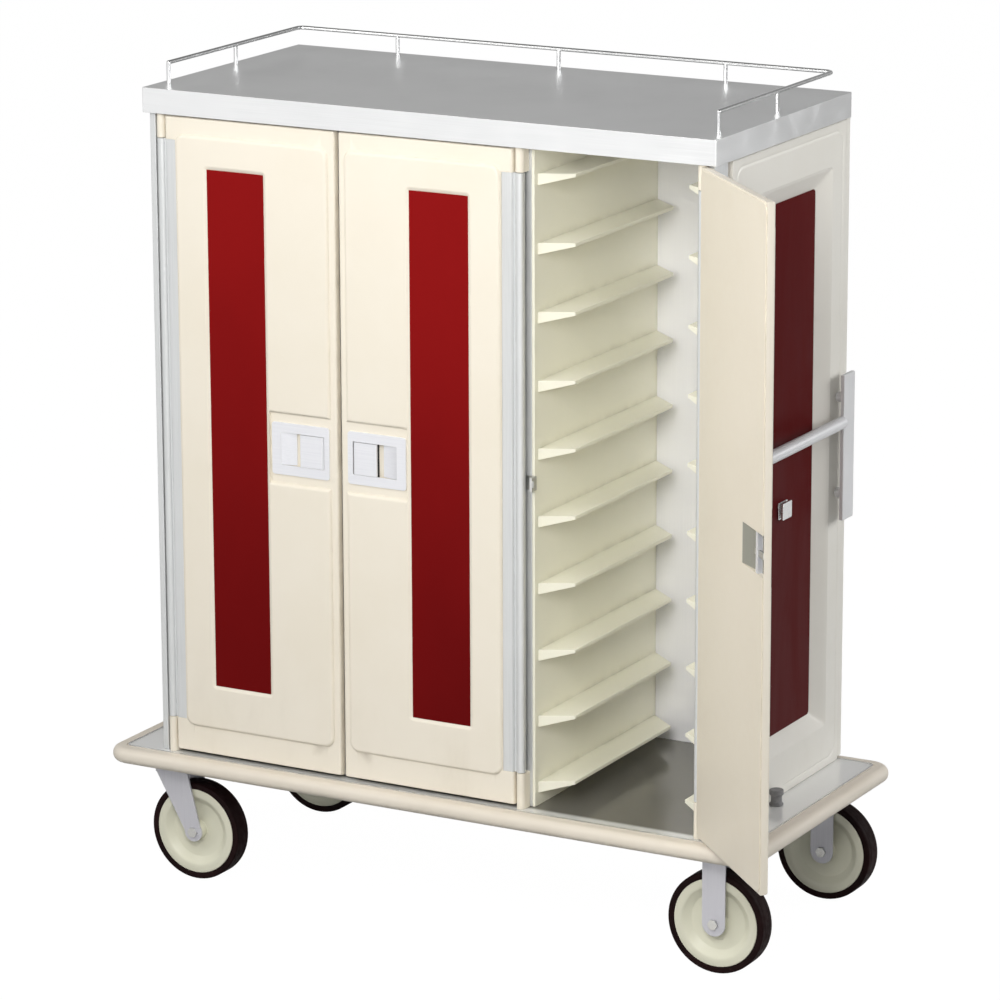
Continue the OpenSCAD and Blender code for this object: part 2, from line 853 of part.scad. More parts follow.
module door_skin(i) {
    w = DOOR_W[i];
    leg = w - pocket_end - pocket_l;
    color(CREAM)
        on_door(i)
            difference() {
                union() {
                    plate_xz([corner_x, w], [door_z0, door_z1], corner_r, [skin_y0, skin_y1]);
                    translate([0, skin_y0 + 1, 0])
                        rotate([90, 0, 0])
                            linear_extrude(raised_t + 1)
                                raised_outline(w);
                }
                long_edge_cut(corner_x, 1);
                long_edge_cut(w, -1);
                // hinge notch, with the skin's back running on behind the leaf
                span([0, notch_w], [skin_y0 - 1, web_t / 2], [barrel_z0, barrel_z1]);
                span([0, web_x], [0, skin_y1 + 1], [barrel_z0, barrel_z1]);
                // pocket for the coloured insert
                plate_xz([insert_x0(w), insert_x1(w)], [insert_z0, insert_z1], 5,
                         [raised_y - 1, raised_y + insert_sink + insert_t]);
                // pan behind the latch plate
                span([w - paddle_edge - paddle_w - slot_w - ramp_w - 1,
                      w - paddle_edge + paddle_play + 1],
                     [skin_y0 - 1, pan_y],
                     [latch_z - paddle_h / 2 - 1 - pan_side, latch_z + paddle_h / 2 + 1 + pan_side]);
                bolt_pocket(w);
            }
}

// Rounds one long outer edge of the skin at x; side points into the skin
module long_edge_cut(x, side) {
    translate([x, skin_y0, door_z0 - 1])
        linear_extrude(door_z1 - door_z0 + 2)
            difference() {
                translate([side > 0 ? -1 : -corner_r, -1])
                    square(corner_r + 1);
                translate([side * corner_r, corner_r])
                    circle(corner_r);
            }
}

// Pocket in the inner face: a slope that ends in a well for the bolt
module bolt_pocket(w) {
    x0 = w - pocket_l;
    translate([0, 0, strike_z - pocket_h / 2])
        linear_extrude(pocket_h)
            polygon([[x0, liner_y1], [x0, liner_y1 + 1], [w - pocket_end, liner_y1 + 1],
                     [w - pocket_end, pocket_y], [x0 + pocket_slope, pocket_y]]);
}

module door_liner(i) {
    w = DOOR_W[i];
    color(CREAM)
        on_door(i)
            difference() {
                plate_xz([web_x, w - 3], [door_z0 + 3, door_z1 - 3], 14, [skin_y1, liner_y1]);
                bolt_pocket(w);
            }
}

module door_insert(i) {
    w = DOOR_W[i];
    color(RED)
        on_door(i)
            plate_xz([insert_x0(w) + seat, insert_x1(w) - seat],
                     [insert_z0 + seat, insert_z1 - seat], 4.8,
                     [raised_y + insert_sink, raised_y + insert_sink + insert_t]);
}

// Extruded hinge: barrel, web on the pivot line and the leaf that shows in the notch
module door_hinge(i) {
    leaf_x = 13;
    chamfer = 3;
    color(ALUMINIUM)
        on_door(i)
            translate([0, 0, barrel_z0])
                linear_extrude(barrel_z1 - barrel_z0)
                    difference() {
                        union() {
                            circle(barrel_r);
                            translate([0, -web_t / 2])
                                square([notch_w, web_t]);
                            polygon([[leaf_x, 0], [leaf_x, leaf_y + chamfer],
                                     [leaf_x + chamfer, leaf_y], [notch_w, leaf_y],
                                     [notch_w, 0]]);
                        }
                        circle(pin_r + fit);
                    }
}

// Latch plate with its sloped finger recess, the paddle's ears and the bolt's guide
module door_latch_body(i) {
    w = DOOR_W[i];
    open_x = [w - paddle_edge - paddle_w - slot_w - ramp_w, w - paddle_edge + paddle_play];
    open_z = [latch_z - paddle_h / 2 - 1, latch_z + paddle_h / 2 + 1];
    ramp_x = open_x[0] + ramp_w;
    axis_x = w - paddle_edge - paddle_axis_in;
    color(STAINLESS)
        on_door(i) {
            difference() {
                union() {
                    plate_xz([w - plate_edge - plate_w, w - plate_edge],
                             [latch_z - plate_h / 2, latch_z + plate_h / 2], 6,
                             [plate_y, skin_y0]);
                    for (z = [open_z[0] - pan_side + 0.5, open_z[1]])
                        span([axis_x - 4, axis_x + 4], [skin_y0 - 0.5, pan_y - 0.5],
                             [z, z + pan_side - 0.5]);
                }
                plate_xz(open_x, open_z, 1.5, [plate_y - 1, skin_y0]);
                translate([axis_x, paddle_axis_y, open_z[0] - pan_side])
                    cylinder(h = open_z[1] - open_z[0] + 2 * pan_side, r = 1.5 + fit);
            }
            translate([0, 0, open_z[0] + 0.5])
                linear_extrude(open_z[1] - open_z[0] - 1)
                    polygon([[open_x[0] + seat, plate_y + 0.5], [ramp_x, pan_y - 2],
                             [ramp_x, pan_y], [open_x[0] + seat, pan_y]]);
            difference() {
                span([w - guide_x - guide_t, w - guide_x], [pocket_y, liner_y1 - 0.5],
                     [strike_z - pocket_h / 2 + 0.5, strike_z + pocket_h / 2 - 0.5]);
                span([w - guide_x - guide_t - 1, w - guide_x + 1],
                     [bolt_y - run, bolt_y + bolt_t + run],
                     [strike_z - bolt_h / 2 - run, strike_z + bolt_h / 2 + run]);
            }
        }
}

module door_paddle(i) {
    w = DOOR_W[i];
    x1 = w - paddle_edge;
    x0 = x1 - paddle_w;
    back = paddle_y + paddle_t;
    chamfer = 3;
    pin_l = pan_side - 1;
    color(STAINLESS)
        on_door(i)
            union() {
                translate([0, 0, latch_z - paddle_h / 2])
                    linear_extrude(paddle_h)
                        polygon([[x0, paddle_y + 1], [x0 + 1, paddle_y], [x1 - chamfer, paddle_y],
                                 [x1, paddle_y + chamfer], [x1, back], [x0 + 4, back],
                                 [x0, back - 3]]);
                translate([x1 - paddle_axis_in, paddle_axis_y, latch_z - paddle_h / 2 - pin_l])
                    cylinder(h = paddle_h + 2 * pin_l, r = 1.5);
            }
}

module door_bolt(i) {
    w = DOOR_W[i];
    nose = 3;
    color(STEEL)
        on_door(i)
            translate([0, 0, strike_z - bolt_h / 2])
                linear_extrude(bolt_h)
                    polygon([[w - bolt_tip - bolt_l, bolt_y], [w - bolt_tip, bolt_y],
                             [w - bolt_tip, bolt_y + bolt_t - nose],
                             [w - bolt_tip - nose, bolt_y + bolt_t],
                             [w - bolt_tip - bolt_l, bolt_y + bolt_t]]);
}

// ---- Casters ----

axle_z = wheel_d / 2;
leg_gap = wheel_w / 2 + 4;
hub_half = leg_gap - run;
king_r = 8;
crown_r = 38;

module mount_plate() {
    translate([0, 0, mount_z])
        linear_extrude(mount_t)
            difference() {
                rounded([-mount_l / 2, mount_l / 2], [-mount_w / 2, mount_w / 2], 8);
                for (sx = [-1, 1], sy = [-1, 1])
                    translate([sx * (mount_l / 2 - 13), sy * (mount_w / 2 - 13)])
                        circle(5);
            }
}

module caster_plates() {
    nut_h = crown_gap - 3.3;
    color(STEEL)
        for (side = [-1, 1]) {
            translate([rigid_x, side * caster_y, 0])
                mount_plate();
            translate([swivel_x, side * caster_y, 0]) {
                mount_plate();
                translate([0, 0, crown_z + crown_t + run])
                    cylinder(h = raceway_h - run, r = 30);
                translate([0, 0, crown_z - run - nut_h])
                    cylinder(h = crown_t + 2 * run + nut_h + 1, r = king_r);
                translate([0, 0, crown_z - run - nut_h])
                    cylinder(h = nut_h, r = 14, $fn = 6);
            }
        }
}

module rigid_forks() {
    color(STEEL)
        for (side = [-1, 1])
            translate([rigid_x, side * caster_y, 0])
                difference() {
                    union() {
                        for (leg = [-1, 1])
                            leg_plate(leg) {
                                circle(leg_w / 2);
                                translate([-leg_w / 2, 0])
                                    square([leg_w, mount_z - axle_z]);
                            }
                        span([-leg_w / 2, leg_w / 2], [-leg_gap - leg_t, leg_gap + leg_t],
                             [mount_z - crown_t, mount_z]);
                    }
                    axle_bore();
                }
}

// An outline around the axle, x along the cart and y up, made into one leg of a fork
module leg_plate(side) {
    translate([0, side * (leg_gap + leg_t / 2) + leg_t / 2, axle_z])
        rotate([90, 0, 0])
            linear_extrude(leg_t)
                children();
}

module axle_bore() {
    translate([0, leg_gap + leg_t + 1, axle_z])
        rotate([90, 0, 0])
            cylinder(h = 2 * (leg_gap + leg_t + 1), r = axle_r + fit);
}

// A bolt through both legs, with its head and its nut
module axle_bolt() {
    half = leg_gap + leg_t;
    translate([0, 0, axle_z])
        rotate([90, 0, 0]) {
            translate([0, 0, -half - 2])
                cylinder(h = 2 * half + 4, r = axle_r);
            translate([0, 0, half])
                cylinder(h = 6, r = axle_r * 1.8, $fn = 6);
            translate([0, 0, -half - 6])
                cylinder(h = 6, r = axle_r * 1.8, $fn = 6);
        }
}

module rigid_axles() {
    color(STAINLESS)
        for (side = [-1, 1])
            translate([rigid_x, side * caster_y, 0])
                axle_bolt();
}

module swivel_fork(side) {
    half_leg = swivel_leg_w / 2;
    rise = crown_z + crown_t - axle_z;
    color(STEEL)
        translate([swivel_x + trail, side * caster_y, 0])
            difference() {
                union() {
                    for (leg = [-1, 1])
                        leg_plate(leg) {
                            circle(half_leg);
                            polygon([[-trail - crown_r, rise], [1 - half_leg, 0],
                                     [half_leg - 1, 0], [crown_r - trail, rise]]);
                        }
                    translate([-trail, 0, crown_z])
                        linear_extrude(crown_t)
                            rounded([-crown_r, crown_r],
                                    [-leg_gap - leg_t, leg_gap + leg_t], 3);
                }
                axle_bore();
                translate([-trail, 0, crown_z - 1])
                    cylinder(h = crown_t + 2, r = king_r + fit);
            }
}

module swivel_axle(side) {
    color(STAINLESS)
        translate([swivel_x + trail, side * caster_y, 0])
            axle_bolt();
}

// Half cross sections of a wheel: x from the axle, y along it
module core_section() {
    hub_r = 24;
    rim_t = 14;
    web_half = 7;
    rim_half = wheel_w / 2 - 4;
    translate([axle_r + fit, -hub_half])
        square([hub_r - axle_r - fit, 2 * hub_half]);
    translate([hub_r - 1, -web_half])
        square([core_r - rim_t - hub_r + 2, 2 * web_half]);
    translate([core_r - rim_t, -rim_half])
        square([rim_t, 2 * rim_half]);
}

module tyre_section() {
    round_r = tyre_t * 0.45;
    half = wheel_w / 2;
    tread_r = wheel_d / 2;
    translate([core_r, -half])
        square([tread_r - round_r - core_r, 2 * half]);
    translate([core_r, round_r - half])
        square([tread_r - core_r, 2 * (half - round_r)]);
    for (y = [round_r - half, half - round_r])
        translate([tread_r - round_r, y])
            circle(round_r);
}

// Places a wheel's turned section on its axle
module at_wheel(left, side) {
    translate([left ? swivel_x + trail : rigid_x, side * caster_y, axle_z])
        rotate([90, 0, 0])
            rotate_extrude()
                children();
}

module wheel_core(left, side) {
    color(CORE)
        at_wheel(left, side)
            core_section();
}

module tyre(left, side) {
    color(TYRE)
        at_wheel(left, side)
            tyre_section();
}

deck_plate();
deck_frame();
bumper_retainer();
bumper();
corner_posts();
mullions();
top_frame();
end_skins();
end_inserts();
back_panel();
back_wall();
roof_liner();
top_cap();
gallery_rail();
tray_rack(0);  // tray_rack_1
tray_rack(1);  // tray_rack_2
tray_rack(2);  // tray_rack_3
push_bar();
grip_plates();
strap_cleat();
bump_stops();
hinge_blocks();
hinge_pins();
latch_keepers();
caster_plates();
rigid_forks();
rigid_axles();
swivel_fork(-1);  // swivel_fork_front
swivel_fork(1);  // swivel_fork_rear
swivel_axle(-1);  // swivel_axle_front
swivel_axle(1);  // swivel_axle_rear
wheel_core(true, -1);  // wheel_core_front_left
wheel_core(true, 1);  // wheel_core_rear_left
wheel_core(false, -1);  // wheel_core_front_right
wheel_core(false, 1);  // wheel_core_rear_right
tyre(true, -1);  // tyre_front_left
tyre(true, 1);  // tyre_rear_left
tyre(false, -1);  // tyre_front_right
tyre(false, 1);  // tyre_rear_right
door_skin(0);  // door_1_skin
door_liner(0);  // door_1_liner
door_insert(0);  // door_1_insert
door_hinge(0);  // door_1_hinge
door_latch_body(0);  // door_1_latch_body
door_paddle(0);  // door_1_paddle
door_bolt(0);  // door_1_bolt
door_skin(1);  // door_2_skin
door_liner(1);  // door_2_liner
door_insert(1);  // door_2_insert
door_hinge(1);  // door_2_hinge
door_latch_body(1);  // door_2_latch_body
door_paddle(1);  // door_2_paddle
door_bolt(1);  // door_2_bolt
door_skin(2);  // door_3_skin
door_liner(2);  // door_3_liner
door_insert(2);  // door_3_insert
door_hinge(2);  // door_3_hinge
door_latch_body(2);  // door_3_latch_body
door_paddle(2);  // door_3_paddle
door_bolt(2);  // door_3_bolt
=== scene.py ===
"""Looks of the enclosed meal tray cart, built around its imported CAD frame."""

import json
import math

import bmesh
import bpy
from mathutils import Matrix, Vector


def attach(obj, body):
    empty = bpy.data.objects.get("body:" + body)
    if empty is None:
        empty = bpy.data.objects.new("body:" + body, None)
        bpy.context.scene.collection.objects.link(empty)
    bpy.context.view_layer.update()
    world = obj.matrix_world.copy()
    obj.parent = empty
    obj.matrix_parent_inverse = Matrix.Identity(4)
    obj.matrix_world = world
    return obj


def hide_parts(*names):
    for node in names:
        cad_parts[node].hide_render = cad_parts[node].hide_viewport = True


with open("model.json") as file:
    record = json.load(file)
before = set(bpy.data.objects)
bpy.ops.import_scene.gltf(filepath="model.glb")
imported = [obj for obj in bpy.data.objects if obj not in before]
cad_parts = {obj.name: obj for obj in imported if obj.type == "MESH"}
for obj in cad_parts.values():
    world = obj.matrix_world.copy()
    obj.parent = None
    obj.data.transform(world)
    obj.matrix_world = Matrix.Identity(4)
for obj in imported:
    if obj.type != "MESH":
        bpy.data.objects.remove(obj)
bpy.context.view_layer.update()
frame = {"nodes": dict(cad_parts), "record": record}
NODES = frame["nodes"]
MM = 0.001
BODY = {n: b for b, ns in frame["record"]["behaviour"]["bodies"].items() for n in ns}

# ---- Numbers of the part, in millimetres ----

DECK_Z = 273
DECK_X, DECK_Y, DECK_R = 693.5, 297, 12
DOOR_Z0, DOOR_Z1 = 281, 1573.15
PIVOT_Y = -281
PIVOT_X = [-590, 207, 590]
DOOR_W = [396, 393, 368]
DOOR_TURN = [0, 0, math.radians(135.5)]
# depths from a door's pivot plane, along its own y
FIELD_Y, RIM_Y, PAN_Y, SKIN_BACK_Y = -15, -9, -3, 7
INSERT_BACK_Y = -11
# the insert's width, and how far its near side stands from the door's free edge
INSERT_W, INSERT_TO_EDGE = 129, 158
INSERT_Z = (427, 1475.15)
FIELD_Z = (337, 1539.15)
HINGE_NOTCH_X, HINGE_NOTCH_Z = 36, (347, 1527.15)
LATCH_Z, STRIKE_Z = 935, 924
SKIN_OUT_X, SKIN_IN_X = 617, 592
END_Y, END_Z = (-212, 292), (DECK_Z, DOOR_Z1)
RECESS_Y, RECESS_Z, RECESS_DEPTH = (-165, 230), (363, 1489.15), 22
SLOPE, SLOPE_FOOT = 38, 31
BUMPER_H, BUMPER_OUT, BUMPER_R = 32, 31, 15
AXLE_Z = 101.5
WHEELS = {
    "front_left": (-555.5, -244), "rear_left": (-555.5, 244),
    "front_right": (619.5, -244), "rear_right": (619.5, 244),
}


# ---- Materials ----

def srgb(r, g, b):
    """Linear colour of 8-bit sRGB values."""
    def linear(c):
        c /= 255
        return c / 12.92 if c <= 0.04045 else ((c + 0.055) / 1.055) ** 2.4
    return (linear(r), linear(g), linear(b), 1)


class Nodes:
    """A node tree, with short calls for the nodes that the materials and the world share."""

    def __init__(self, tree):
        self.tree = tree

    def node(self, kind, inputs=(), **props):
        made = self.tree.nodes.new("ShaderNode" + kind)
        for key, value in props.items():
            setattr(made, key, value)
        for key, value in dict(inputs).items():
            if isinstance(value, bpy.types.NodeSocket):
                self.tree.links.new(value, made.inputs[key])
            else:
                made.inputs[key].default_value = value
        return made

    def math(self, kind, a, b=0.0):
        return self.node("Math", {0: a, 1: b}, operation=kind).outputs[0]


class Paint(Nodes):
    """A material, with short calls for what the finishes are made of."""

    def __init__(self, name, **sockets):
        self.mat = bpy.data.materials.new(name)
        self.mat.use_nodes = True
        super().__init__(self.mat.node_tree)
        self.shader = self.tree.nodes["Principled BSDF"]
        self.place = self.node("TexCoord").outputs["Object"]
        for key, value in sockets.items():
            self.shader.inputs[key.replace("_", " ")].default_value = value

    def noise(self, scale, detail=2.0, rough=0.5, stretch=(1, 1, 1), distortion=0.0):
        at = self.node("Mapping", {"Vector": self.place, "Scale": stretch})
        made = self.node("TexNoise", {"Vector": at.outputs[0], "Scale": scale, "Detail": detail,
                                      "Roughness": rough, "Distortion": distortion})
        return made.outputs[0]

    def band(self, value, low, high, out_low=0.0, out_high=1.0):
        """value from low to high becomes out_low to out_high, smoothly and clamped."""
        return self.node("MapRange", {"Value": value, "From Min": low, "From Max": high,
                                      "To Min": out_low, "To Max": out_high},
                         interpolation_type="SMOOTHSTEP").outputs[0]

    def mix(self, a, b, factor):
        return self.node("Mix", {"Factor": factor, 6: a, 7: b}, data_type="RGBA").outputs[2]

    def height(self):
        return self.node("SeparateXYZ", {0: self.place}).outputs[2]

    def creases(self):
        """0 on open faces, towards 1 in corners closer than 20 mm."""
        made = self.node("AmbientOcclusion", {"Distance": 0.02}, samples=8, only_local=False)
        return self.band(made.outputs["AO"], 0.95, 0.35)

    def edges(self, width=0.0015):
        """Towards 1 along edges."""
        bevel = self.node("Bevel", {"Radius": width}, samples=6)
        flat = self.node("NewGeometry").outputs["Normal"]
        dot = self.node("VectorMath", {0: bevel.outputs[0], 1: flat}, operation="DOT_PRODUCT")
        return self.band(dot.outputs["Value"], 0.985, 0.86)

    def bump(self, *layers):
        """layers are (height, strength, distance), laid over each other."""
        normal = None
        for value, strength, distance in layers:
            inputs = {"Height": value, "Strength": strength, "Distance": distance}
            if normal:
                inputs["Normal"] = normal
            normal = self.node("Bump", inputs).outputs[0]
        self.into("Normal", normal)

    def into(self, key, value):
        self.tree.links.new(value, self.shader.inputs[key])


def moulded(name, colour, shade, dark_tone, rough=0.4, grain=900, darker_low=None):
    """Moulded plastic: fine grain, uneven tone, painted shade in the creases and a streaky
    darkening towards the bottom.
    """
    p = Paint(name, Specular_IOR_Level=0.5)
    tone = p.mix(srgb(*colour), srgb(*shade), p.band(p.noise(3.2, 4, 0.6), 0.35, 0.75, 0, 0.6))
    # painted shade: darker in creases and corners, in patches of noise
    crease_shade_and_low_dark = p.math("MULTIPLY", p.creases(), p.band(p.noise(28, 3), 0.3, 0.75, 0.25, 0.8))
    if darker_low:
        # a streaky darkening towards the bottom, below the given height
        low, high, amount = darker_low
        towards_bottom = p.band(p.height(), high, low, 0, amount)
        streak = p.band(p.noise(9, 5, 0.65, (1, 1, 0.35)), 0.45, 0.8)
        crease_shade_and_low_dark = p.math("MAXIMUM", crease_shade_and_low_dark, p.math("MULTIPLY", towards_bottom, streak))
    p.into("Base Color", p.mix(tone, srgb(*dark_tone), p.math("MULTIPLY", crease_shade_and_low_dark, 0.42)))
    p.into("Roughness", p.band(p.noise(60, 4, 0.6), 0.3, 0.72, rough - 0.05, rough + 0.1))
    p.bump((p.noise(7, 2), 0.25, 0.0006), (p.noise(grain, 3, 0.6), 0.16, 0.00025))
    return p.mat


def sheet_laminate(name, colour, shade, rough=0.36):
    """Coloured laminate sheet, with painted shade a little darker towards its foot, patches of
    random tone and soft wipe marks.
    """
    p = Paint(name, Specular_IOR_Level=0.04)
    # painted shade: darker towards the foot, plus patches of random tone
    shade_low_and_tone = p.math("ADD", p.band(p.height(), 1.5, 0.4, 0, 0.75),
                  p.band(p.noise(2.2, 4, 0.55, (1, 1, 0.5)), 0.3, 0.75, 0, 0.25))
    p.into("Base Color", p.mix(srgb(*colour), srgb(*shade), shade_low_and_tone))
    wipe = p.noise(11, 5, 0.65, (1, 1, 0.25), 0.6)
    p.into("Roughness", p.band(wipe, 0.3, 0.75, rough - 0.07, rough + 0.12))
    p.bump((p.noise(1500, 2), 0.12, 0.0002), (p.noise(5, 2), 0.15, 0.0005))
    return p.mat


def metal(name, colour, shade, rough, along=0, metallic=1.0, brush=0.5, marks=0.35,
          shade_inside=None):
    """Brushed sheet or bar: streaks along one axis, fine scratches, edges brightened by wear.

    The last argument, (colour, half width, front y) in metres, paints shade: a darker tone within
    that width and behind that front, for the part of a sheet that lies inside the cabinet."""
    p = Paint(name, Metallic=metallic)
    stretch = [1.0, 1.0, 1.0]
    stretch[along] = 0.012
    streak = p.noise(520, 3, 0.6, tuple(stretch))
    broad = p.noise(3.5, 3, 0.55)
    tone = p.mix(srgb(*shade), srgb(*colour), p.band(streak, 0.25, 0.75))
    tone = p.mix(tone, srgb(*colour), p.band(broad, 0.35, 0.7, 0, 0.6))
    # painted shade: a darker tone for the part of the sheet inside the cabinet
    if shade_inside:
        inside_shade, half, front = shade_inside
        at = p.node("SeparateXYZ", {0: p.place})
        # both sides fade over about a centimetre
        across = p.band(p.math("ABSOLUTE", at.outputs[0]), half + 0.006, half - 0.006)
        behind = p.band(at.outputs[1], front - 0.006, front + 0.01)
        tone = p.mix(tone, srgb(*inside_shade), p.math("MULTIPLY", across, behind))
    bright = tuple(min(255, c + 22) for c in colour)
    p.into("Base Color", p.mix(tone, srgb(*bright), p.math("MULTIPLY", p.edges(), 0.7)))
    smudge = p.band(p.noise(13, 5, 0.6), 0.42, 0.78, 0, marks * 0.35)
    lines = p.band(streak, 0.2, 0.8, rough - 0.06, rough + 0.08)
    p.into("Roughness", p.math("ADD", lines, smudge))
    p.bump((streak, brush * 0.35, 0.0002), (p.noise(6, 2), 0.08, 0.0008))
    return p.mat


def tyre_rubber():
    """Near black rubber with a little dust and slightly rubbed edges."""
    p = Paint("tyre_rubber", Specular_IOR_Level=0.08)
    dust = p.math("MULTIPLY", p.band(p.noise(45, 5, 0.7), 0.45, 0.8), 0.035)
    tone = p.mix(srgb(20, 8, 9), srgb(31, 14, 15), p.band(p.noise(14, 3), 0.3, 0.7))
    tone = p.mix(tone, srgb(104, 92, 86), dust)
    p.into("Base Color", p.mix(tone, srgb(92, 80, 76), p.math("MULTIPLY", p.edges(0.002), 0.08)))
    p.into("Roughness", p.band(p.noise(80, 4), 0.3, 0.7, 0.5, 0.72))
    p.bump((p.noise(650, 3, 0.6), 0.3, 0.0004), (p.noise(60, 4), 0.2, 0.0005))
    return p.mat


def rubber_block(name, colour, dust):
    """Plain matt rubber with specks of dust."""
    p = Paint(name)
    p.into("Base Color", p.mix(srgb(*colour), srgb(*dust),
                               p.band(p.noise(120, 4, 0.7), 0.4, 0.8)))
    p.into("Roughness", p.band(p.noise(60, 3), 0.3, 0.7, 0.5, 0.75))
    p.bump((p.noise(900, 2), 0.3, 0.0003))
    return p.mat


# the third colour of each moulding is painted shade for its creases, and the tone it darkens to
# towards the bottom
CREAM = moulded("cream_moulding", (243, 236, 222), (238, 230, 213), (166, 154, 132),
                darker_low=(0.26, 0.62, 0.35))
LINER = moulded("door_liner", (238, 230, 214), (232, 223, 206), (166, 154, 132), rough=0.36,
                grain=1300)
END_CREAM = moulded("end_moulding", (236, 234, 227), (230, 227, 218), (160, 152, 138),
                    darker_low=(0.26, 0.5, 0.35))
RACK = moulded("rack_moulding", (253, 251, 235), (248, 246, 229), (168, 164, 138), rough=0.42)
BUMPER = moulded("bumper_vinyl", (234, 226, 213), (225, 216, 201), (122, 110, 98), rough=0.4,
                 grain=700, darker_low=(0.235, 0.27, 0.6))
CORE = moulded("wheel_nylon", (228, 227, 208), (218, 217, 196), (126, 120, 100), rough=0.38,
               grain=700)
# the second colour of each insert is painted shade towards its foot, also mixed in at random
RED = sheet_laminate("red_insert", (142, 20, 21), (99, 10, 12))
DARK_RED = sheet_laminate("dark_red_insert", (86, 11, 13), (78, 8, 10))
CAP = metal("stainless_cap", (236, 237, 238), (229, 230, 231), 0.34, along=0, metallic=0.85,
            brush=0.12, marks=0.2)
# painted shade: the deck is darker inside the cabinet, behind the door line
DECK = metal("stainless_deck", (242, 243, 243), (239, 240, 240), 0.14, along=0, brush=0.02,
             metallic=0.3, marks=0.15, shade_inside=((124, 122, 116), 0.605, -0.275))
BRIGHT = metal("stainless_bright", (232, 233, 234), (218, 219, 220), 0.2, along=0, brush=0.2)
UPRIGHT = metal("aluminium_upright", (218, 220, 221), (208, 210, 211), 0.42, along=2,
                metallic=0.55, brush=0.2)
BACK = metal("aluminium_wall", (250, 250, 254), (245, 245, 250), 0.5, along=2, metallic=0.2,
             brush=0.15)
HANDLE = metal("handle_steel", (228, 229, 231), (218, 219, 222), 0.4, along=2, metallic=0.35,
               brush=0.2)
LATCH = metal("latch_satin", (236, 237, 242), (229, 230, 236), 0.34, along=0, metallic=0.4,
              brush=0.08, marks=0.15)
POCKET = metal("pocket_steel", (164, 164, 154), (152, 152, 143), 0.5, along=2, metallic=0.4,
               brush=0.15)
ZINC = metal("zinc_steel", (206, 206, 213), (196, 196, 204), 0.44, along=2, metallic=0.4,
             brush=0.2)
BOLT = metal("bolt_steel", (214, 214, 212), (190, 190, 188), 0.3, along=1, brush=0.3)
TYRE = tyre_rubber()
STOP = rubber_block("stop_rubber", (128, 128, 130), (152, 151, 150))
# painted shade: dark sheets for the floor of the bolt well and behind the latch
WELL_SHADE = rubber_block("well_painted_shade", (46, 46, 46), (62, 61, 60))


# ---- Making pieces ----

def finish_piece(obj, body, material, slot, *nodes):
    """Gives a new piece its material and body, and hides the nodes that it stands for. The slot is
    not used.
    """
    obj.data.materials.clear()
    obj.data.materials.append(material)
    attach(obj, body)
    if nodes:
        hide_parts(*nodes)
    return obj


def from_bmesh(name, bm, crease=40):
    """An object of the mesh, smooth but for edges sharper than crease in degrees."""
    bmesh.ops.recalc_face_normals(bm, faces=bm.faces)
    mesh = bpy.data.meshes.new(name)
    bm.to_mesh(mesh)
    bm.free()
    for poly in mesh.polygons:
        poly.use_smooth = True
    mesh.set_sharp_from_angle(angle=math.radians(crease))
    obj = bpy.data.objects.new(name, mesh)
    bpy.context.scene.collection.objects.link(obj)
    return obj


# shapes with slivers, whose bevels have to stop where two of them meet
TIGHT = ("paddle", "latch_body", "swivel_fork")


ROLL_FROM = math.radians(32)    # edges that bend less stay as they are


def soften(node, width, material, slot, segments=2):
    """A copy of a node's shape with rolled edges of that width in mm."""
    bm = bmesh.new()
    bm.from_mesh(NODES[node].data)
    bmesh.ops.remove_doubles(bm, verts=bm.verts, dist=2e-6)
    bmesh.ops.dissolve_limit(bm, angle_limit=math.radians(0.5), use_dissolve_boundaries=False,
                             verts=bm.verts, edges=bm.edges)
    obj = from_bmesh(node + ".soft", bm)
    bevel = obj.modifiers.new("rolled_edges", "BEVEL")
    bevel.width = width * MM
    bevel.segments = segments
    bevel.limit_method = "ANGLE"
    bevel.angle_limit = ROLL_FROM
    bevel.harden_normals = True
    bevel.use_clamp_overlap = any(key in node for key in TIGHT)
    bevel.miter_outer = "MITER_SHARP" if bevel.use_clamp_overlap else "MITER_ARC"
    return finish_piece(obj, BODY[node], material, slot, node)


def at_door(i):
    """The door's own axes, in metres, as it stands at rest."""
    turn = Matrix.Translation((PIVOT_X[i] * MM, PIVOT_Y * MM, 0)) @ Matrix.Rotation(
        DOOR_TURN[i], 4, "Z")
    return turn @ Matrix.Scale(-1, 4, (1, 0, 0)) if i else turn


def grid_lines(low, high, zones, fine, coarse):
    """Values from low to high: fine steps inside the zones, coarse ones between them."""
    values, at = [low], low
    for a, b in sorted((max(low, a), min(high, b)) for a, b in zones) + [(high, high)]:
        for end, pitch in ((max(a, at), coarse), (max(b, at), fine)):
            if end - at > 1e-6:
                n = math.ceil((end - at) / pitch - 1e-6)
                values += [at + (end - at) * k / n for k in range(1, n + 1)]
                at = end
    return values


def relief(us, vs, front, back, place, keep=lambda u, v: True):
    """A closed panel between the heights front(u, v) and back(u, v) over the grid us by vs."""
    bm = bmesh.new()
    made = {}

    def vert(side, i, j):
        if (side, i, j) not in made:
            height = (front, back)[side](us[i], vs[j])
            made[side, i, j] = bm.verts.new(Vector(place(us[i], vs[j], height)) * MM)
        return made[side, i, j]

    for i in range(len(us) - 1):
        for j in range(len(vs) - 1):
            if keep((us[i] + us[i + 1]) / 2, (vs[j] + vs[j + 1]) / 2):
                for side in (0, 1):
                    bm.faces.new([vert(side, i, j), vert(side, i + 1, j),
                                  vert(side, i + 1, j + 1), vert(side, i, j + 1)])
    where = {v: key for key, v in made.items()}
    for e in [e for e in bm.edges if e.is_boundary]:
        (side, *a), (_, *b) = (where[v] for v in e.verts)
        if side == 0:
            bm.faces.new([vert(0, *a), vert(0, *b), vert(1, *b), vert(1, *a)])
    return bm


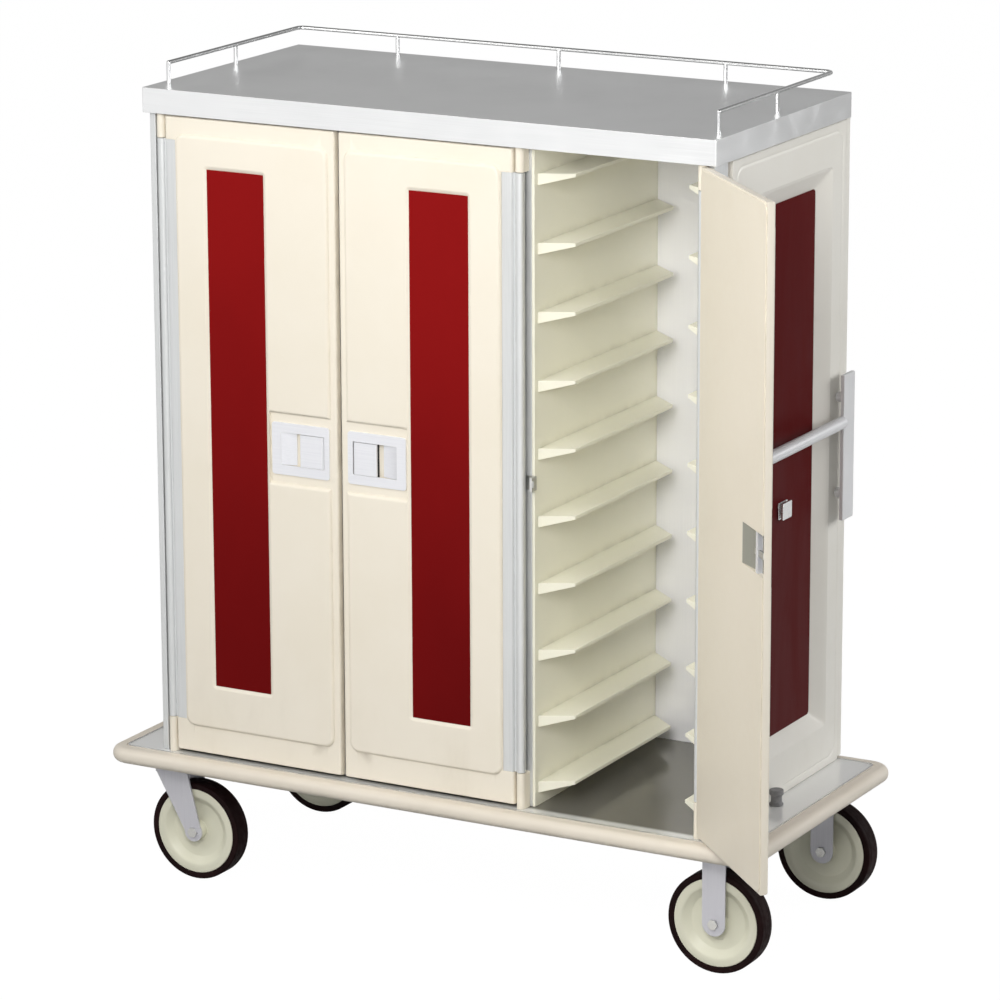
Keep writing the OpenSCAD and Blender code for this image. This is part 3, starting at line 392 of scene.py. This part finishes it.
def box_distance(u, v, us, vs, r):
    """Signed distance to a round-cornered rectangle, negative inside."""
    du = abs(u - (us[0] + us[1]) / 2) - (us[1] - us[0]) / 2 + r
    dv = abs(v - (vs[0] + vs[1]) / 2) - (vs[1] - vs[0]) / 2 + r
    return math.hypot(max(du, 0), max(dv, 0)) + min(max(du, dv), 0) - r


def clamp(t):
    return max(0.0, min(1.0, t))


def quarter(t):
    """0 to 1 along a quarter round that starts steep."""
    return math.sqrt(max(0.0, 1 - (1 - clamp(t)) ** 2))


def smooth(t):
    t = clamp(t)
    return t * t * (3 - 2 * t)


def arc(cx, cy, r, start, end, steps):
    """Points on an arc, from start to end in degrees."""
    return [(cx + r * math.cos(math.radians(start + (end - start) * k / steps)),
             cy + r * math.sin(math.radians(start + (end - start) * k / steps)))
            for k in range(steps + 1)]


def join_rings(bm, rings):
    """Faces between rings of as many points each, the last ring to the first as well."""
    n = len(rings[0])
    for a, b in zip(rings, rings[1:] + rings[:1]):
        for k in range(n):
            m = (k + 1) % n
            bm.faces.new([a[k], a[m], b[m], b[k]])


# ---- Doors ----

def around(value, reach):
    return (value - reach, value + reach)


def insert_x(i):
    """Both sides of a door's insert, from the hinge outwards."""
    near = DOOR_W[i] - INSERT_TO_EDGE
    return (near - INSERT_W, near)


def door_skin(i):
    """The outer moulding of a door: raised field, insert recess, latch pan and bolt pocket."""
    w = DOOR_W[i]
    x0, x1 = insert_x(i)
    insert = ((x0, x1), INSERT_Z)
    field = ((38, w - 15), FIELD_Z)
    band = ((x1 + 4, w + 60), around(LATCH_Z, 71))
    pan = ((w - 128, w - 27), around(LATCH_Z, 38))
    # the bolt pocket slopes from its start to its deepest line and ends near the free edge
    pocket_start, pocket_deep, pocket_end = w - 121, w - 40, w - 2
    pocket_z = around(STRIKE_Z, 39)
    free_x = 12             # the skin's side by the hinge, outside the notch
    edge_r, rim_r, lip_w, field_r = 6, 3, 7, 7
    field_h = RIM_Y - FIELD_Y
    lip_h = 3.4             # how far the lip falls from the field to the insert

    def face(x, z):
        d = max(box_distance(x, z, *field, 20), -box_distance(x, z, *band, 7))
        y = RIM_Y - field_h * quarter((0.5 - d) / field_r)
        lip = box_distance(x, z, *insert, 4)
        if lip < -0.1:
            y = INSERT_BACK_Y
        elif lip < lip_w:
            y = FIELD_Y + lip_h * (1 - clamp(lip / lip_w)) ** 1.1
        if box_distance(x, z, *pan, 2) < 0:
            y = PAN_Y
        in_notch = HINGE_NOTCH_Z[0] < z < HINGE_NOTCH_Z[1]
        reach = min(x - (HINGE_NOTCH_X if in_notch else free_x), w - x)
        if not in_notch and x < HINGE_NOTCH_X:
            reach = min(reach, max(HINGE_NOTCH_Z[0] - z, z - HINGE_NOTCH_Z[1]) + 3)
        if not (in_notch and x < 60):
            y += edge_r * (1 - quarter(reach / edge_r))
        y += rim_r * (1 - quarter(min(z - DOOR_Z0, DOOR_Z1 - z) / rim_r))
        return y

    def inner(x, z):
        if pocket_start < x < pocket_end and pocket_z[0] < z < pocket_z[1]:
            slope = clamp((x - pocket_start) / (pocket_deep - pocket_start))
            return min(SKIN_BACK_Y, 9 - 10.5 * slope)
        return SKIN_BACK_Y

    # the grid is fine where the face bends: edges, field rim, insert lip, latch pan
    zones_x = [(free_x, 20), (37, 60), (x0 - 8, x0 + 1), (x1 - 1, x1 + 18),
               (w - 129, w - 127), (w - 28, w - 26), (w - 30, w)]
    zones_z = [(DOOR_Z0, DOOR_Z0 + 4), (DOOR_Z1 - 4, DOOR_Z1), (336, 358), (1518, 1540),
               (418, 429), (1473, 1484), (LATCH_Z - 86, LATCH_Z - 60),
               (LATCH_Z + 60, LATCH_Z + 86), (LATCH_Z - 39, LATCH_Z - 37),
               (LATCH_Z + 37, LATCH_Z + 39)]

    def both(values):
        """A line on each side of a step."""
        return {value + e for value in values for e in (-0.1, 0.1)}

    us = grid_lines(free_x, w, zones_x, 1.0, 24)
    vs = grid_lines(DOOR_Z0, DOOR_Z1, zones_z, 1.0, 40)
    us = sorted(set(us) | {HINGE_NOTCH_X} | both((pocket_start, pocket_end)))
    vs = sorted(set(vs) | set(HINGE_NOTCH_Z) | both(pocket_z))
    bm = relief(us, vs, face, inner, lambda u, v, h: (u, h, v),
                lambda u, v: not (u < HINGE_NOTCH_X
                                  and HINGE_NOTCH_Z[0] < v < HINGE_NOTCH_Z[1]))
    bm.transform(at_door(i))
    obj = from_bmesh(f"door_{i + 1}_moulding", bm, 50)
    finish_piece(obj, f"door_{i + 1}", CREAM, "cream_moulding", f"door_{i + 1}_skin")


def bar_mesh(bm, x, y, z):
    """A box between two values on each axis."""
    made = bmesh.ops.create_cube(bm, size=1)["verts"]
    for v in made:
        v.co = Vector([a + (c + 0.5) * (b - a) for c, (a, b) in zip(v.co, (x, y, z))]) * MM


def door_box(i, name, x, y, z, crease=40):
    """A box in the door's own axes, as a piece's mesh."""
    bm = bmesh.new()
    bar_mesh(bm, x, y, z)
    bm.transform(at_door(i))
    return from_bmesh(name, bm, crease)


def pocket_lining(i):
    """The gray sheet on the bolt pocket's slope, and painted shade: the dark floor of its well and
    the dark pan behind the latch. They are looks only, and thin."""
    w = DOOR_W[i]
    z0, z1 = around(STRIKE_Z, 38.8)
    for name, material, slot, line in (
            ("slope", POCKET, "zinc_steel", [(w - 112, 8.2), (w - 41, -1.1)]),
            # painted shade: the dark floor of the bolt well
            ("well", WELL_SHADE, "stop_rubber", [(w - 29, -1.2), (w - 2.6, -1.2), (w - 2.6, 6.6)])):
        bm = bmesh.new()
        rows = [[bm.verts.new(Vector((x, y + lift, z)) * MM) for x, y in line]
                for z, lift in ((z0, 0), (z1, 0), (z1, -0.25), (z0, -0.25))]
        for a, b in zip(rows, rows[1:] + rows[:1]):
            for k in range(len(line) - 1):
                bm.faces.new([a[k], a[k + 1], b[k + 1], b[k]])
        for k in (0, -1):
            bm.faces.new([r[k] for r in rows])
        bm.transform(at_door(i))
        obj = from_bmesh(f"door_{i + 1}_pocket_{name}", bm, 30)
        finish_piece(obj, f"door_{i + 1}", material, slot)
    # painted shade: a dark pan behind the latch
    obj = door_box(i, f"door_{i + 1}_latch_pan_shade", (w - 83, w - 27.4), (-3.3, -3.05),
                   around(LATCH_Z, 37.5), 30)
    finish_piece(obj, f"door_{i + 1}", WELL_SHADE, "stop_rubber")


SHEET_GAP, SHEET_T = 0.2, 1.4      # round the insert sheet, and its thickness

for i in range(3):
    door_skin(i)
    pocket_lining(i)
    n = f"door_{i + 1}_"
    soften(n + "liner", 0.7, LINER, "cream_moulding", 3)
    soften(n + "hinge", 0.8, UPRIGHT, "aluminium")
    soften(n + "latch_body", 0.5, LATCH, "latch_satin")
    soften(n + "paddle", 0.7, LATCH, "latch_satin")
    soften(n + "bolt", 0.5, BOLT, "bolt_steel")
    # insert sheet, a little under the node's face so that the bevelled lip shows
    x0, x1 = insert_x(i)
    sheet = door_box(i, n + "insert_sheet", (x0 + SHEET_GAP, x1 - SHEET_GAP),
                     (INSERT_BACK_Y - SHEET_T, INSERT_BACK_Y),
                     (INSERT_Z[0] + SHEET_GAP, INSERT_Z[1] - SHEET_GAP))
    roll = sheet.modifiers.new("rolled_edges", "BEVEL")
    roll.width, roll.segments, roll.harden_normals = 0.4 * MM, 2, True
    finish_piece(sheet, f"door_{i + 1}", RED, "red_insert", n + "insert")


# ---- Ends ----

def recess_profile(t):
    """Depth of an end's recess, 0 to 1: a small step at the rim, a slope and a rounded foot."""
    rim = 0.12
    if t <= 0:
        return 0
    if t <= rim:
        return 0.5 * t * t / rim + rim / 2
    if t < 0.9:
        return t
    return min(1, 1 - (max(0, 1.05 - t) ** 2) / 0.225)


def end_skin(side):
    """An end moulding: a recess with sloping sides and a groove near its outline."""
    ys, zs = END_Y, END_Z
    groove = ((ys[0] + 15, ys[1] - 15), (zs[0] + 15, zs[1] - 15))
    groove_r, groove_w, groove_depth = 30, 4, 1.5
    flange_drop = 8         # how far the flange before the end's front edge stands back
    edge_r = 3
    blend = 0.12            # how softly the four slopes meet in the corners

    def face(y, z):
        if y < ys[0]:
            return SKIN_OUT_X - flange_drop
        ways = [(y - RECESS_Y[0]) / SLOPE, (RECESS_Y[1] - y) / SLOPE,
                (z - RECESS_Z[0]) / SLOPE_FOOT, (RECESS_Z[1] - z) / SLOPE]
        nearest = -blend * math.log(sum(math.exp(-max(-4, min(6, t)) / blend) for t in ways))
        x = SKIN_OUT_X - RECESS_DEPTH * recess_profile(nearest)
        d = abs(box_distance(y, z, *groove, groove_r) + 2.5)
        x -= groove_depth * smooth(1 - d / groove_w)
        edge = min(y - ys[0], ys[1] - y, z - zs[0], zs[1] - z)
        return x - edge_r * (1 - quarter(edge / edge_r))

    # the grid is fine at the edges, the groove and the recess's slopes
    zones_y = [(ys[0], ys[0] + 4), (ys[0] + 13, ys[0] + 46), (-168, -122), (187, 233),
               (ys[1] - 46, ys[1] - 13), (ys[1] - 4, ys[1])]
    zones_z = [(zs[0], zs[0] + 4), (zs[0] + 13, zs[0] + 46), (360, 397), (1448, 1492),
               (zs[1] - 46, zs[1] - 13), (zs[1] - 4, zs[1])]
    us = grid_lines(ys[0] - 0.01, ys[1], zones_y, 1.5, 30)
    # the flange is one strip, with a sharp step to the face
    us = [ys[0] - 17, ys[0] - 0.01] + [u for u in us if u >= ys[0] + 0.01]
    vs = grid_lines(zs[0], zs[1], zones_z, 1.5, 40)
    bm = relief(us, vs, face, lambda u, v: SKIN_IN_X, lambda u, v, h: (side * h, u, v))
    return from_bmesh("end_moulding_" + ("right" if side > 0 else "left"), bm, 50)


for side in (-1, 1):
    finish_piece(end_skin(side), "cabinet", END_CREAM, "cream_moulding", "end_skins")
soften("end_inserts", 0.6, DARK_RED, "dark_red_insert")


# ---- Bumper ----

def bumper():
    """The bumper's D section swept round the deck."""
    top, low, out, r = DECK_Z, DECK_Z - BUMPER_H, BUMPER_OUT, BUMPER_R
    section = [(0, low)] + arc(out - r, low + r, r, -90, 0, 9) + arc(out - r, top - r, r, 0, 90, 9)
    # a small groove along the inner top edge
    section += [(3.2, top), (2.6, top - 1.2), (1.8, top - 1.2), (1.2, top), (0, top)]
    bm = bmesh.new()
    rings = []
    steps = 12
    inner_r = DECK_R + 3    # the bumper starts outside the strip that holds it
    for q in range(4):
        sx, sy = (1, 1, -1, -1)[q], (-1, 1, 1, -1)[q]
        cx, cy = sx * (DECK_X - DECK_R), sy * (DECK_Y - DECK_R)
        for k in range(steps + 1):
            a = math.radians(-90 + q * 90 + k * 90 / steps)
            rings.append([bm.verts.new(Vector((cx + (inner_r + d) * math.cos(a),
                                               cy + (inner_r + d) * math.sin(a), z)) * MM)
                          for d, z in section])
    join_rings(bm, rings)
    return from_bmesh("bumper_extrusion", bm, 35)


finish_piece(bumper(), "cabinet", BUMPER, "bumper_vinyl", "bumper")


# ---- Wheels ----

def turned(name, section, centre):
    """A section of (radius, along the axle) turned about an axle along Y."""
    bm = bmesh.new()
    rings = []
    turns = 72
    for k in range(turns):
        a = 2 * math.pi * k / turns
        rings.append([bm.verts.new(Vector((centre[0] + r * math.cos(a), centre[1] + y,
                                           centre[2] + r * math.sin(a))) * MM)
                      for r, y in section])
    join_rings(bm, rings)
    return from_bmesh(name, bm, 38)


def both_sides(half):
    """Half a section and its mirror image, as one outline."""
    return half + [(r, -y) for r, y in reversed(half)]


# half sections in mm, from the middle of the wheel outwards: bore, hub, web and rim, then tyre
CORE_HALF = ([(6.3, 24.7)] + arc(17.8, 23, 1.7, 90, 0, 3)
             + [(19.8, 8.6), (20.8, 7.4), (23, 7), (56, 7), (58, 7.7), (69.5, 17.6), (71.5, 19.3)]
             + [(74, 20.1), (77, 20.4)] + arc(86.9, 18.8, 1.6, 90, 0, 3))
TYRE_HALF = ([(88.55, 18.9)] + arc(90, 19.6, 1.4, 150, 90, 2) + [(96, 21)]
             + arc(98.3, 17.8, 3.2, 90, 8, 6)
             + [(101.5, 10.4), (100.9, 9.9), (100.9, 9.3), (101.5, 8.8), (101.5, 3)])

for key, (x, y) in WHEELS.items():
    centre = (x, y, AXLE_Z)
    finish_piece(turned(f"core_{key}", both_sides(CORE_HALF), centre), f"wheel_{key}", CORE,
                 "wheel_nylon", f"wheel_core_{key}")
    finish_piece(turned(f"tyre_{key}.tread", both_sides(TYRE_HALF), centre), f"wheel_{key}", TYRE,
                 "tyre", f"tyre_{key}")


# ---- Everything else keeps its CAD shape with rolled edges ----

KEPT = [
    # node, edge width in mm, material, slot
    ("deck_plate", 0.6, DECK, "stainless"),
    ("deck_frame", 1.5, ZINC, "zinc_steel"),
    ("bumper_retainer", 0.5, BRIGHT, "stainless"),
    ("corner_posts", 1.5, UPRIGHT, "aluminium"),
    ("mullions", 1.5, UPRIGHT, "aluminium"),
    ("top_frame", 1.5, ZINC, "zinc_steel"),
    ("back_panel", 2.0, END_CREAM, "cream_moulding"),
    ("back_wall", 0.5, BACK, "aluminium"),
    ("roof_liner", 0.5, BACK, "aluminium"),
    ("top_cap", 0.9, CAP, "stainless"),
    ("gallery_rail", 0.3, BRIGHT, "stainless"),
    ("tray_rack_1", 1.0, RACK, "rack_moulding"),
    ("tray_rack_2", 1.0, RACK, "rack_moulding"),
    ("tray_rack_3", 1.0, RACK, "rack_moulding"),
    ("push_bar", 0.5, HANDLE, "handle_steel"),
    ("grip_plates", 2.0, HANDLE, "handle_steel"),
    ("strap_cleat", 1.2, BRIGHT, "stainless"),
    ("bump_stops", 2.0, STOP, "stop_rubber"),
    ("hinge_blocks", 1.2, CREAM, "cream_moulding"),
    ("hinge_pins", 0.5, BOLT, "bolt_steel"),
    ("latch_keepers", 0.5, BOLT, "bolt_steel"),
    ("caster_plates", 0.8, ZINC, "zinc_steel"),
    ("rigid_forks", 0.8, ZINC, "zinc_steel"),
    ("rigid_axles", 0.6, BOLT, "bolt_steel"),
    ("swivel_fork_front", 0.8, ZINC, "zinc_steel"),
    ("swivel_fork_rear", 0.8, ZINC, "zinc_steel"),
    ("swivel_axle_front", 0.6, BOLT, "bolt_steel"),
    ("swivel_axle_rear", 0.6, BOLT, "bolt_steel"),
]
for node, width, material, slot in KEPT:
    soften(node, width, material, slot)


# ---- Stage, light and camera ----

def floor():
    """A plain pale floor: white to the camera, darker for the light that it throws back."""
    bpy.ops.mesh.primitive_plane_add(size=60)
    made = bpy.context.object
    made.name = "floor"
    p = Paint("floor_white", Roughness=0.9, Specular_IOR_Level=0.1)
    path = p.node("LightPath")
    plain = p.mix(srgb(136, 136, 135), srgb(132, 132, 131), p.noise(0.8, 2))
    p.into("Base Color", p.mix(plain, srgb(255, 255, 254), path.outputs["Is Glossy Ray"]))
    glow = p.node("Emission", {"Color": (1, 1, 1, 1), "Strength": 1.125})
    # painted reflection: before the doors the floor glows white to glossy rays only, so the steel
    # mirrors white there
    before = p.band(p.node("SeparateXYZ", {0: p.place}).outputs[1], -0.8, -2.0, 0, 0.85)
    glow_share = p.math("ADD", p.math("MULTIPLY", path.outputs["Is Camera Ray"], 0.88),
                 p.math("MULTIPLY", path.outputs["Is Glossy Ray"], before))
    blend = p.node("MixShader", {0: glow_share, 1: p.shader.outputs[0], 2: glow.outputs[0]})
    p.tree.links.new(blend.outputs[0], p.tree.nodes["Material Output"].inputs[0])
    made.data.materials.append(p.mat)


def surroundings():
    """White behind the object, and a soft room for the light and the reflections."""
    world = bpy.data.worlds.new("studio")
    world.use_nodes = True
    bpy.context.scene.world = world
    world.node_tree.nodes.clear()
    t = Nodes(world.node_tree)
    path = t.node("LightPath")
    seen = t.math("MAXIMUM", path.outputs["Is Camera Ray"],
                  path.outputs["Is Transmission Ray"])
    way = t.node("TexCoord").outputs["Generated"]

    def ramp(direction, low, high, out_low, out_high):
        dot = t.node("VectorMath", {0: way, 1: Vector(direction).normalized()},
                     operation="DOT_PRODUCT")
        return t.node("MapRange", {"Value": dot.outputs["Value"], "From Min": low,
                                   "From Max": high, "To Min": out_low,
                                   "To Max": out_high}).outputs[0]

    # bright round the horizon and darker overhead; brighter before the doors than behind
    level = t.math("MULTIPLY", ramp((0, 0, 1), 0.15, 0.6, 0.72, 0.22),
                   ramp((-0.45, -0.8, 0), -1, 1, 0.64, 1.14))
    soft = t.node("Background", {"Strength": level, "Color": (1, 0.995, 0.985, 1)})
    white = t.node("Background", {"Strength": 1, "Color": (1, 1, 1, 1)})
    blend = t.node("MixShader", {0: seen, 1: soft.outputs[0], 2: white.outputs[0]})
    t.node("OutputWorld", {0: blend.outputs[0]})


def lamp(name, at, aim, size, power, colour=(1, 1, 1)):
    """A round soft lamp at a place, turned to another, in metres and watts."""
    data = bpy.data.lights.new(name, "AREA")
    data.shape, data.size, data.energy, data.color = "DISK", size, power, colour
    made = bpy.data.objects.new(name, data)
    bpy.context.scene.collection.objects.link(made)
    made.location = at
    made.rotation_mode = "QUATERNION"
    made.rotation_quaternion = (Vector(aim) - Vector(at)).to_track_quat("-Z", "Y")


def camera():
    """The photograph's camera, fitted to the cart's corners and wheels."""
    azimuth, elevation, roll = (math.radians(a) for a in (28.77, 14.57, -0.19))
    target, distance = Vector((0.00719, 0, 0.80325)), 9.48
    back = Vector((math.sin(azimuth) * math.cos(elevation),
                   -math.cos(azimuth) * math.cos(elevation), math.sin(elevation)))
    right = Vector((math.cos(azimuth), math.sin(azimuth), 0))
    up = back.cross(right)
    side = right * math.cos(roll) + up * math.sin(roll)
    data = bpy.data.cameras.new("camera")
    data.lens, data.sensor_width = 171.95, 36
    data.clip_end = 200
    made = bpy.data.objects.new("camera", data)
    bpy.context.scene.collection.objects.link(made)
    turn = Matrix((side, back.cross(side), back)).transposed()
    made.matrix_world = Matrix.Translation(target + back * distance) @ turn.to_4x4()
    bpy.context.scene.camera = made


floor()
surroundings()
lamp("key", (-3.0, -3.2, 3.2), (0, 0, 1.2), 2.0, 28, (1, 0.985, 0.95))
lamp("front", (1.5, -3.6, 2.6), (0.2, 0, 1.1), 1.6, 84, (1, 0.99, 0.965))
lamp("over", (-0.1, -1.9, 2.9), (-0.1, -0.2, 1.0), 1.2, 16, (1, 0.99, 0.965))
lamp("side", (4.3, 2.4, 2.5), (0.5, 0, 0.9), 2.2, 104)
camera()
bpy.context.scene.view_settings.view_transform = "Standard"
